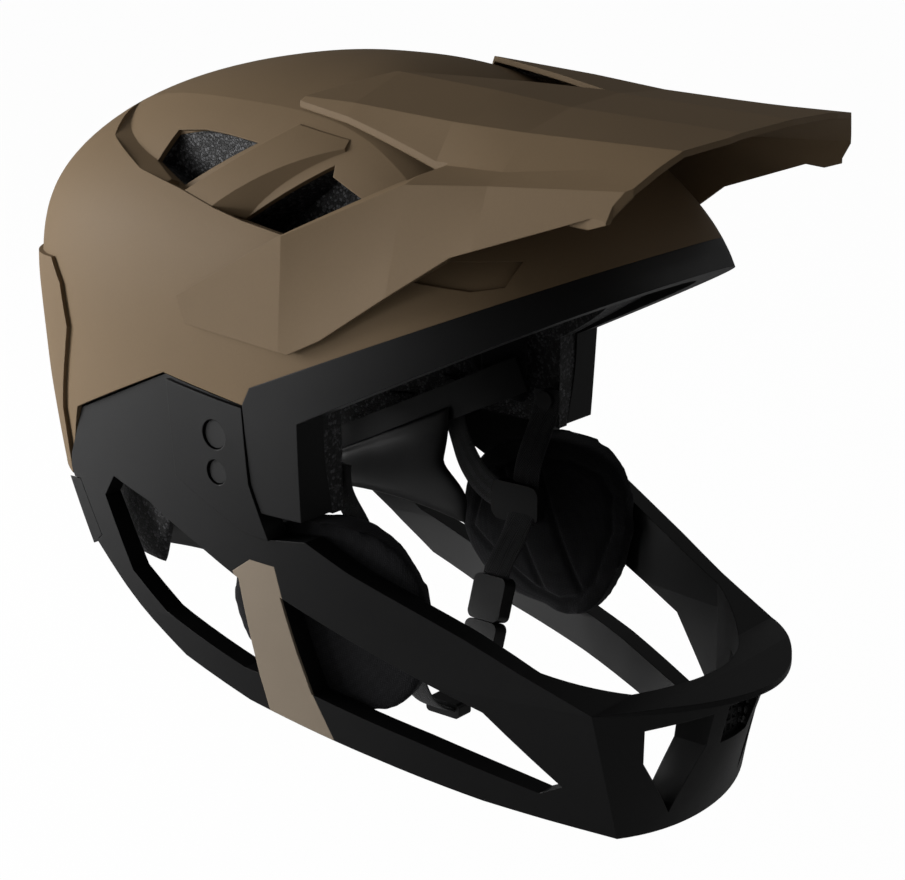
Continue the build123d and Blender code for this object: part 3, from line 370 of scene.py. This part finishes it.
def settled(thing):
    """A new mesh with thing's modifiers worked in, as it stands in the present frame."""
    graph = bpy.context.evaluated_depsgraph_get()
    graph.update()
    return bpy.data.meshes.new_from_object(thing.evaluated_get(graph))


def rise_to_one(value, low, high):
    """0 below low, 1 above high, and 3t^2 - 2t^3 of the share t between them."""
    share = np.clip((value - low) / (high - low), 0, 1)
    return share * share * (3 - 2 * share)


def weld(mesh, reach=0.000001, fills_ends=False, turns_out=True):
    """Points of the mesh nearer than reach become one. fills_ends closes each open end with one
    face, and turns_out makes all faces look outwards."""
    joined = bmesh.new()
    joined.from_mesh(mesh)
    bmesh.ops.remove_doubles(joined, verts=joined.verts, dist=reach)
    if fills_ends:
        open_edges = [edge for edge in joined.edges if edge.is_boundary]
        bmesh.ops.holes_fill(joined, edges=open_edges)
    if turns_out:
        bmesh.ops.recalc_face_normals(joined, faces=joined.faces)
    joined.to_mesh(mesh)
    joined.free()


def stuffed_pad(name, node, body, outward, mesh_step, swell, channel_depth, solid=None):
    """Pad blown out of its CAD solid, or of the given one. outward gives each point's direction
    to the surface that the pad sticks to: the skin is held as it comes to face that way, by
    held_facing. channel_depth gives each point's depth below the free skin."""
    solid = solid or nodes[node].data.copy()
    weld(solid, 0.00001, turns_out=False)
    thing = bpy.data.objects.new(name, solid)
    bpy.context.scene.collection.objects.link(thing)
    squares = thing.modifiers.new("squares", "REMESH")
    squares.mode = "VOXEL"
    squares.voxel_size = mesh_step
    eased = thing.modifiers.new("eased", "SMOOTH")
    eased.factor = 0.5
    eased.iterations = 8
    thing.data = settled(thing)
    thing.modifiers.clear()
    mesh = thing.data
    start = points_of(mesh)
    facing = np.sum(normals_of(mesh) * outward(start), axis=1)
    held = rise_to_one(facing, *held_facing)
    drawn_in = start - normals_of(mesh) * (drawn_in_share * swell * (1 - held))[:, None]
    mesh.vertices.foreach_set("co", drawn_in.ravel())
    group = thing.vertex_groups.new(name="held")
    for index, weight in enumerate(held.tolist()):
        group.add([index], weight, "REPLACE")
    cloth = thing.modifiers.new("stuffing", "CLOTH")
    cloth.settings.use_pressure = True
    cloth.settings.uniform_pressure_force = pad_pressure
    cloth.settings.vertex_group_mass = "held"
    cloth.settings.effector_weights.gravity = 0
    cloth.settings.quality = 6
    cloth.point_cache.frame_end = pad_frames
    for frame_number in range(1, pad_frames + 1):
        bpy.context.scene.frame_set(frame_number)
    blown = points_of(settled(thing))
    thing.modifiers.clear()
    bpy.context.scene.frame_set(1)
    moved = blown - drawn_in
    length = np.linalg.norm(moved, axis=1)
    moved *= (np.minimum(length, swell) / np.maximum(length, 1e-9))[:, None]
    mesh.vertices.foreach_set("co", (drawn_in + moved).ravel())
    thing.vertex_groups.clear()
    smooth_skin = thing.modifiers.new("smooth_skin", "SUBSURF")
    smooth_skin.levels = 1
    smooth_skin.render_levels = 1
    thing.data = settled(thing)
    thing.modifiers.clear()
    mesh = thing.data
    skin = points_of(mesh)
    normal = normals_of(mesh)
    free = 1 - rise_to_one(np.sum(normal * outward(skin), axis=1), *free_facing)
    skin -= normal * (channel_depth(skin) * free)[:, None]
    mesh.vertices.foreach_set("co", skin.ravel())
    mesh.shade_smooth()
    mesh.materials.clear()
    mesh.materials.append(knit)
    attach(thing, body)
    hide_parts(node)


def away_from_head(place):
    """Unit directions from the middle of the head outwards."""
    out = place - head_centre
    return out / np.linalg.norm(out, axis=1)[:, None]


def sewn(distance, depth, width):
    """Channel that is depth deep on its line and fades as a bell curve of the distance from it."""
    return depth * np.exp(-(distance / width) ** 2)


def channels_along(axis, lines, depth=0.0014, width=0.0016):
    """Channels at fixed places on one axis of the frame."""
    return lambda place: sum(sewn(place[:, axis] - line, depth, width) for line in lines)


# Each pad on the liner: name, CAD node, the axis that its channels cross, and their places on it.
for pad_name, pad_node, channel_axis, channel_lines in (
        ("brow_cushion", "brow_pad", 0, (-0.036, -0.012, 0.012, 0.036)),
        ("crown_cushion", "crown_pad", 1, (-0.036, -0.012, 0.012, 0.036, 0.060)),
        ("nape_cushion", "nape_pad", 0, (-0.020, 0.0, 0.020)),
        ("side_cushion_left", "side_pad_left", 1, (0.004,)),
        ("side_cushion_right", "side_pad_right", 1, (0.004,))):
    stuffed_pad(pad_name, pad_node, "helmet", away_from_head, pad_step, pad_swell,
                channels_along(channel_axis, channel_lines))

# Cheek pads: thicker cushions on the chin bar, larger than their CAD solids, with a seam that runs
# 9 mm inside their outline. Their backs follow the bar's inner wall, found by sideways rays.
cheek_outline = np.array([(0.014, -0.088), (0.000, -0.046), (-0.030, -0.033), (-0.056, -0.031),
                          (-0.076, -0.036), (-0.086, -0.050), (-0.088, -0.070), (-0.080, -0.098),
                          (-0.068, -0.113), (-0.052, -0.118), (-0.034, -0.114)])
cheek_middle = np.array([-0.040, -0.076])
cheek_inner_x = 0.063
cheek_crown = 0.16
cheek_least = 0.009
cheek_step = 0.0026
cheek_swell = 0.003
wall_gap = 0.0010
wall_ray_x = 0.03
wall_ray_y = np.linspace(-0.090, 0.020, 23)
wall_ray_z = np.linspace(-0.115, -0.034, 18)
wall_low_share = 0.08
seam_inset = 0.009
seam_rise = 0.002
seam_depth, seam_width = 0.0016, 0.0014
short_seam_depth, short_seam_width = 0.0014, 0.0016
short_seam_place = (-0.040, -0.074)
short_seam_slant = (0.91, 0.42)
short_seam_offset = 0.011


def quadratic_terms(y, z):
    """The six terms of a quadratic in two variables, one row each."""
    return np.stack([np.ones_like(y), y, z, y * y, y * z, z * z], axis=-1)


def wall_of_bar():
    """Coefficients of the quadratic fitted to the bar's left inner wall, then drawn in by wall_gap
    past all but wall_low_share of the points that the rays met."""
    bar = nodes["chin_bar"].data
    bar_faces = [face.vertices[:] for face in bar.polygons]
    bar_tree = BVHTree.FromPolygons(points_of(bar).tolist(), bar_faces)
    met = []
    for y in wall_ray_y:
        for z in wall_ray_z:
            hit = bar_tree.ray_cast(Vector((wall_ray_x, y, z)), Vector((1, 0, 0)))[0]
            if hit is not None:
                met.append((hit.x, y, z))
    met = np.array(met)
    terms = quadratic_terms(met[:, 1], met[:, 2])
    shares = np.linalg.lstsq(terms, met[:, 0], rcond=None)[0]
    shares[0] += np.quantile(met[:, 0] - terms @ shares, wall_low_share) - wall_gap
    return shares


def cheek_solid(way):
    """Closed mesh between a shallow dome towards the face and the bar's wall. Its outline is a
    closed curve near the corners of cheek_outline, eased by a bell-shaped mean, and each ring is a
    share of the way from the middle to that curve."""
    turns = np.linspace(0, 2 * pi, 121)[:-1]
    arms = cheek_outline - cheek_middle
    angle = np.arctan2(arms[:, 1], arms[:, 0]) % (2 * pi)
    order = np.argsort(angle)
    reach = np.interp(turns, angle[order], np.linalg.norm(arms, axis=1)[order], period=2 * pi)
    soften = np.hanning(17) / np.hanning(17).sum()
    reach = np.convolve(np.concatenate([reach[-8:], reach, reach[:8]]), soften, mode="valid")
    spokes = np.stack([np.cos(turns), np.sin(turns)], axis=-1) * reach[:, None]
    share = np.linspace(0.02, 1, 20)
    seen = cheek_middle + share[:, None, None] * spokes
    from_crown = np.sum((seen - cheek_middle) ** 2, axis=-1)
    wall = quadratic_terms(seen[..., 0], seen[..., 1]) @ wall_of_bar()
    inner = np.minimum(cheek_inner_x + from_crown / (2 * cheek_crown), wall - cheek_least)
    faces = [np.concatenate([way * x[..., None], seen], axis=-1) for x in (inner, wall)]
    skin = np.concatenate([faces[0], faces[1][::-1]])
    skin = np.concatenate([skin, skin[:, :1]], axis=1)
    thing = sheet_mesh("cheek_start", skin)
    mesh = thing.data
    weld(mesh, fills_ends=True)
    bpy.data.objects.remove(thing)
    return mesh


def from_outline(place):
    """Each point's shortest distance, seen from the side, to the runs of cheek_outline."""
    seen = place[:, None, 1:]
    start = cheek_outline[None]
    run = np.roll(cheek_outline, -1, axis=0)[None] - start
    share = np.clip(np.sum((seen - start) * run, axis=2) / np.sum(run * run, axis=2), 0, 1)
    return np.linalg.norm(seen - start - share[..., None] * run, axis=2).min(axis=1)


def cheek_channels(place):
    """One seam all round at seam_inset, and two short ones that split the middle."""
    inwards = from_outline(place)
    round_seam = sewn(inwards - seam_inset, seam_depth, seam_width)
    inside = rise_to_one(inwards, seam_inset, seam_inset + seam_rise)
    slanted = ((place[:, 1] - short_seam_place[0]) * short_seam_slant[0]
               - (place[:, 2] - short_seam_place[1]) * short_seam_slant[1])
    short_seams = sewn(np.abs(slanted) - short_seam_offset, short_seam_depth, short_seam_width)
    return np.maximum(round_seam, inside * short_seams)


for side_name, way in (("left", 1), ("right", -1)):
    stuffed_pad(f"cheek_cushion_{side_name}", f"cheek_pad_{side_name}", "chin_bar",
                lambda place, way=way: np.tile([way, 0.0, 0.0], (len(place), 1)),
                cheek_step, cheek_swell, cheek_channels, cheek_solid(way))

# Straps: black woven nylon webbing 15 mm wide, its two legs a side meeting in a divider under the
# ear. The chin strap runs from the dividers to the buckle.
webbing_half = 0.0074
webbing_thick = 0.0013
webbing_step = 0.0008
rib_pitch = 0.0011
column_pitch = 0.0008
chevron_width = 0.0025
column_share = 0.4
woven, tree, shader = plain_material("woven_nylon")
shader.inputs["Roughness"].default_value = 0.6
shader.inputs["Specular IOR Level"].default_value = 0.35
shader.inputs["Sheen Weight"].default_value = 0.15
thread_map = tree.nodes.new("ShaderNodeUVMap")
thread_map.uv_map = "webbing_map"
split = tree.nodes.new("ShaderNodeSeparateXYZ")
tree.links.new(thread_map.outputs["UV"], split.inputs["Vector"])


def math_node(kind, first, second=None):
    """A Math node of one kind in the webbing's material, fed by sockets or set to numbers."""
    node = tree.nodes.new("ShaderNodeMath")
    node.operation = kind
    for socket, value in ((node.inputs[0], first), (node.inputs[1], second)):
        if isinstance(value, (int, float)):
            socket.default_value = value
        elif value is not None:
            tree.links.new(value, socket)
    return node.outputs[0]


# The weave leans one way and back across the width, so its ribs stand as chevrons.
zigzag = math_node("PINGPONG", split.outputs["Y"], chevron_width)
rib_turn = math_node("MULTIPLY", math_node("ADD", split.outputs["X"], zigzag), pi / rib_pitch)
column_turn = math_node("MULTIPLY", split.outputs["Y"], pi / column_pitch)
rib = math_node("ABSOLUTE", math_node("SINE", rib_turn))
column = math_node("ABSOLUTE", math_node("SINE", column_turn))
column_mask = math_node("ADD", math_node("MULTIPLY", column, column_share), 1 - column_share)
weave = math_node("MULTIPLY", rib, column_mask)
thread_tint = tree.nodes.new("ShaderNodeMix")
thread_tint.data_type = "RGBA"
thread_tint.inputs["A"].default_value = (0.004, 0.004, 0.0045, 1)
thread_tint.inputs["B"].default_value = (0.020, 0.020, 0.022, 1)
bump = tree.nodes.new("ShaderNodeBump")
bump.inputs["Distance"].default_value = 0.0003
tree.links.new(weave, thread_tint.inputs["Factor"])
tree.links.new(thread_tint.outputs["Result"], shader.inputs["Base Color"])
tree.links.new(weave, bump.inputs["Height"])
tree.links.new(bump.outputs["Normal"], shader.inputs["Normal"])


def smooth_route(places, step):
    """Natural cubic curve through places, timed by the distances between them, at every step."""
    knots = np.concatenate([[0], np.cumsum(np.linalg.norm(np.diff(places, axis=0), axis=1))])
    gap = np.diff(knots)
    rows = np.eye(len(knots))
    right = np.zeros_like(places)
    for row in range(1, len(knots) - 1):
        rows[row, row - 1:row + 2] = gap[row - 1], 2 * (gap[row - 1] + gap[row]), gap[row]
        right[row] = 6 * ((places[row + 1] - places[row]) / gap[row]
                          - (places[row] - places[row - 1]) / gap[row - 1])
    bend = np.linalg.solve(rows, right)
    times = np.linspace(0, knots[-1], int(knots[-1] / step) + 1)
    run = np.clip(np.searchsorted(knots, times, side="right") - 1, 0, len(gap) - 1)
    back = ((times - knots[run]) / gap[run])[:, None]
    front = 1 - back
    return (front * places[run] + back * places[run + 1]
            + gap[run][:, None] ** 2 / 6 * ((front ** 3 - front) * bend[run]
                                            + (back ** 3 - back) * bend[run + 1]))


def webbing(name, node, places, across=None):
    """Flat strap along places. Its section is a rounded bar: width goes with the cube root of the
    cosine and thickness with the sine of one turn. across is the width's direction, or None to
    lay the width square to both the run and the X axis."""
    route = smooth_route(np.array(places), webbing_step)
    ahead = np.gradient(route, axis=0)
    ahead /= np.linalg.norm(ahead, axis=1)[:, None]
    if across is None:
        wide = np.cross(ahead, [1.0, 0.0, 0.0])
    else:
        wide = np.tile(np.array(across, float), (len(route), 1))
    wide /= np.linalg.norm(wide, axis=1)[:, None]
    thick = np.cross(ahead, wide)
    turn = np.linspace(0, 2 * pi, 29)
    width = webbing_half * np.sign(np.cos(turn)) * np.abs(np.cos(turn)) ** (1 / 3)
    height = webbing_thick / 2 * np.sin(turn)
    skin = (route[:, None] + wide[:, None] * width[None, :, None]
            + thick[:, None] * height[None, :, None])
    length = np.concatenate([[0], np.cumsum(np.linalg.norm(np.diff(route, axis=0), axis=1))])
    thing = sheet_mesh(name, skin)
    mesh = thing.data
    rows, columns = skin.shape[:2]
    corner = np.empty(len(mesh.loops), dtype=int)
    mesh.loops.foreach_get("vertex_index", corner)
    uv = np.stack([length[corner // columns], width[corner % columns] + webbing_half], axis=-1)
    mesh.uv_layers.new(name="webbing_map")
    mesh.uv_layers["webbing_map"].data.foreach_set("uv", uv.ravel())
    weld(mesh, fills_ends=True)
    mesh.shade_smooth()
    mesh.materials.append(woven)
    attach(thing, "helmet")
    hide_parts(node)


front_leg = [(0.0738, -0.038, -0.0090), (0.0738, -0.038, -0.0160), (0.0705, -0.038, -0.0240),
             (0.0650, -0.038, -0.0325), (0.0600, -0.038, -0.0420), (0.0570, -0.038, -0.0600)]
rear_leg = [(0.0791, 0.0210, -0.0140), (0.0791, 0.0210, -0.0270), (0.0660, 0.0060, -0.0420),
            (0.0580, -0.0160, -0.0570), (0.0570, -0.0275, -0.0600)]
chin_short = [(0.0566, -0.038, -0.0615), (0.0480, -0.038, -0.0760), (0.0360, -0.038, -0.0890),
              (0.0340, -0.038, -0.0950)]
chin_long = [(0.0260, -0.038, -0.1180), (0.0240, -0.038, -0.1240), (0.0130, -0.038, -0.1380),
             (0.0, -0.038, -0.1430), (-0.0130, -0.038, -0.1380), (-0.0240, -0.038, -0.1240),
             (-0.0360, -0.038, -0.0890), (-0.0480, -0.038, -0.0760), (-0.0566, -0.038, -0.0615)]
for side_name, way in (("left", 1), ("right", -1)):
    webbing(f"front_leg_{side_name}", f"front_strap_{side_name}",
            [(way * x, y, z) for x, y, z in front_leg], (0, 1, 0))
    webbing(f"rear_leg_{side_name}", f"rear_strap_{side_name}",
            [(way * x, y, z) for x, y, z in rear_leg])
webbing("chin_leg_left", "chin_strap_left", chin_short, (0, 1, 0))
webbing("chin_leg_right", "chin_strap_right", chin_long, (0, 1, 0))

# Liner lobes and cradle wings, which the CAD lacks: the liner's foam hangs on behind the ears,
# outside the fit bands, and each band carries a wide plastic wing that leans in towards the neck.
rim_power = 12


def moulded_slab(name, middle, thick, body, material):
    """Closed slab round a grid of middle points, half of thick either way along the grid's normals.
    Near its rims the half falls to nothing by the square root of one less the twelfth power of
    the share across."""
    rows, columns = middle.shape[:2]
    normal = np.cross(np.gradient(middle, axis=0), np.gradient(middle, axis=1))
    normal /= np.linalg.norm(normal, axis=2)[..., None]
    fade = [np.sqrt(1 - np.abs(np.sin(np.linspace(-pi / 2, pi / 2, count))) ** rim_power)
            for count in (rows, columns)]
    half = (thick / 2 * fade[0][:, None] * fade[1][None])[..., None] * normal
    skin = np.concatenate([middle + half, (middle - half)[:, ::-1]], axis=1)
    thing = sheet_mesh(name, skin)
    weld(thing.data)
    thing.data.shade_smooth()
    thing.data.materials.append(material)
    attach(thing, body)


def dense_at_ends(count):
    """Shares from 0 to 1 that crowd at both ends as a half turn of the sine."""
    return 0.5 + 0.5 * np.sin(np.linspace(-pi / 2, pi / 2, count))


down, across = np.meshgrid(dense_at_ends(40), dense_at_ends(60), indexing="ij")

# Plan of the lobe's middle: places backwards and sideways. Its top is tucked into the liner, its
# front edge leans forwards on the way down, and it is drawn in with the square of the way down.
lobe_plan = np.array([(0.046, 0.0778), (0.060, 0.0772), (0.078, 0.0742), (0.088, 0.0722),
                      (0.098, 0.0690), (0.108, 0.0640), (0.116, 0.0560)])
lobe_start_y, lobe_end_y = 0.046, 0.116
lobe_top = -0.0262
lobe_rim = -0.0760
lobe_thick = 0.0056
lobe_lean = 0.42
lobe_draw = 0.05
lobe_draw_start = 0.03
lobe_z = lobe_top + (lobe_rim - lobe_top) * down
lobe_front = lobe_start_y - lobe_lean * (lobe_z - lobe_top)
lobe_y = lobe_front + (lobe_end_y - lobe_front) * across
lobe_x = (np.interp(lobe_y, *lobe_plan.T)
          - lobe_draw * down ** 2 * (lobe_draw_start + lobe_y - lobe_start_y))

# The band's lower edge drops backwards by band_slope. The wing starts above that edge, sunk into
# the band, and leans in below it. Its rim is a parabola that is lowest at its ends.
wing_thick = 0.0034
wing_rim = -0.0728
wing_rim_bend = 1.8
wing_rim_middle = 0.05
wing_front_y, wing_back_y = 0.016, 0.084
wing_forwards = 0.019
wing_forwards_span = (0.5, 0.85)
wing_lean_span = (0.12, 1.1)
wing_foot_x = 0.0575
wing_overlap = 0.007
wing_sink = 0.0006
band_edge_z = -0.0249
band_slope = 0.487
band_plan = np.array([(0.0, 0.0690), (0.04, 0.0694), (0.06, 0.0686), (0.08, 0.0660),
                      (0.09, 0.0636)])
wing_front = wing_front_y - wing_forwards * rise_to_one(down, *wing_forwards_span)
wing_y = wing_front + (wing_back_y - wing_front) * across
band_low = band_edge_z - band_slope * wing_y
wing_top = band_low + wing_overlap
wing_low = wing_rim - wing_rim_bend * (wing_y - wing_rim_middle) ** 2
wing_z = wing_top + (wing_low - wing_top) * down
band_x = np.interp(wing_y, *band_plan.T)
wing_x = (band_x - wing_thick / 2 + wing_sink
          - (band_x - wing_foot_x) * rise_to_one(down, *wing_lean_span))
for side_name, way in (("left", 1), ("right", -1)):
    moulded_slab(f"liner_lobe_{side_name}", np.stack([way * lobe_x, lobe_y, lobe_z], axis=-1),
                 lobe_thick, "helmet", foam_beads)
    moulded_slab(f"cradle_wing_{side_name}", np.stack([way * wing_x, wing_y, wing_z], axis=-1),
                 wing_thick, f"band_{side_name}", small_black)
